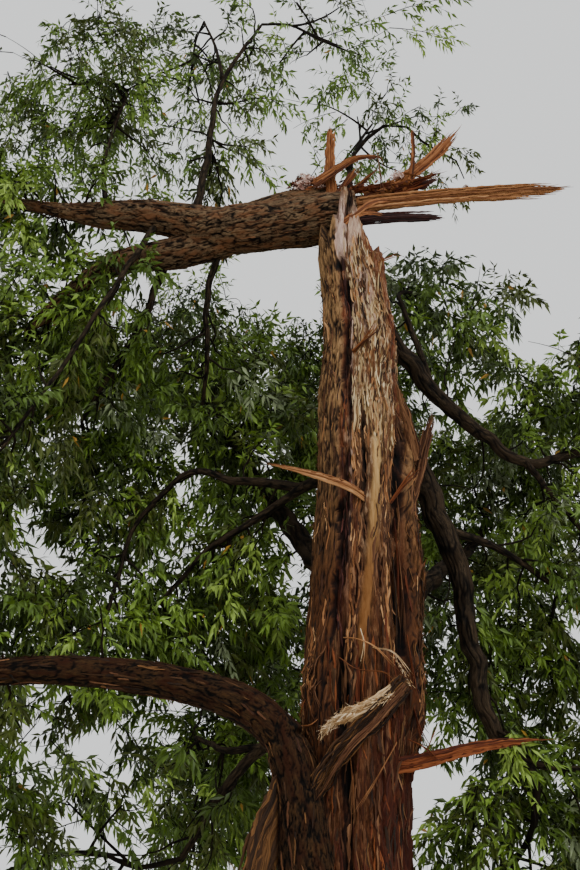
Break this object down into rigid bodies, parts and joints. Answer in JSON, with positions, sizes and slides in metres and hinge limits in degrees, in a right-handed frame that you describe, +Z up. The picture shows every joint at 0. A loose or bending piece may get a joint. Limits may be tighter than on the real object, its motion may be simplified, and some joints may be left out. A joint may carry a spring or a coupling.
{
  "type": "storm-broken tree",
  "caption": "Tall broadleaf tree whose trunk has snapped: splintered standing trunk, its top hinged over to one side, dark boughs and open green foliage.",
  "frame": {"origin": "middle of the flat cut under the trunk, at ground level", "axes": "+Z up the trunk; the torn face looks along -Y; the snapped top lies towards -X"},
  "size_m": [8.1265, 5.0987, 12.9423],
  "materials": {
    "stripped_trunk": "bare torn wood with strips of stringy bark left on it",
    "torn_wood": "fresh splintered wood, orange to tan",
    "bark": "rough stringy bark, red-brown",
    "dark_bark": "dark rough bark",
    "leaves": "narrow green leaves in open sprays"
  },
  "bodies": {
    "root": {"trunk": "stripped_trunk", "toppled_top": "bark", "toppled_leader": "bark", "toppled_limb": "bark", "branch_upright": "dark_bark", "branch_upright_fork": "dark_bark", "branch_upright_left": "dark_bark", "branch_hanging_left": "dark_bark", "branch_hanging_middle": "dark_bark", "branch_hanging_front": "dark_bark", "bough_lower_left_stem": "bark", "bough_lower_left": "bark", "bough_right_upper": "dark_bark", "bough_right_upper_fork": "dark_bark", "bough_right_riser": "dark_bark", "bough_right_lower": "dark_bark", "bough_right_lower_fork": "dark_bark", "bough_right_foot": "dark_bark", "bough_left_middle": "dark_bark", "bough_left_middle_drop": "dark_bark", "bough_left_middle_fork": "dark_bark", "bough_left_low": "dark_bark", "bough_left_low_riser": "dark_bark", "bough_rear_top": "dark_bark", "bough_rear_middle": "dark_bark", "bough_rear_left": "dark_bark", "bough_rear_right": "dark_bark", "bough_rear_low": "dark_bark", "splinter_long": "torn_wood", "splinter_plate": "torn_wood", "splinter_butt": "torn_wood", "splinter_upright": "torn_wood", "splinter_left": "torn_wood", "splinter_right_low": "torn_wood", "bark_flap_right": "bark", "bark_flap_low": "bark", "foliage_top_left": "leaves", "foliage_leader": "leaves", "foliage_left_high": "leaves", "foliage_left_inner": "leaves", "foliage_middle_left": "leaves", "foliage_front_left": "leaves", "foliage_left_drop": "leaves", "foliage_left_core": "leaves", "foliage_low_left": "leaves", "foliage_left_riser": "leaves", "foliage_lower_bough": "leaves", "foliage_crest": "leaves", "foliage_crest_left": "leaves", "foliage_right_high": "leaves", "foliage_right_middle": "leaves", "foliage_right_top": "leaves", "foliage_right_core": "leaves", "foliage_low_right": "leaves", "foliage_right_foot": "leaves", "foliage_rear_top": "leaves", "foliage_rear_middle": "leaves", "foliage_rear_left": "leaves", "foliage_rear_right": "leaves", "foliage_rear_low": "leaves"}
  },
  "joints": []
}
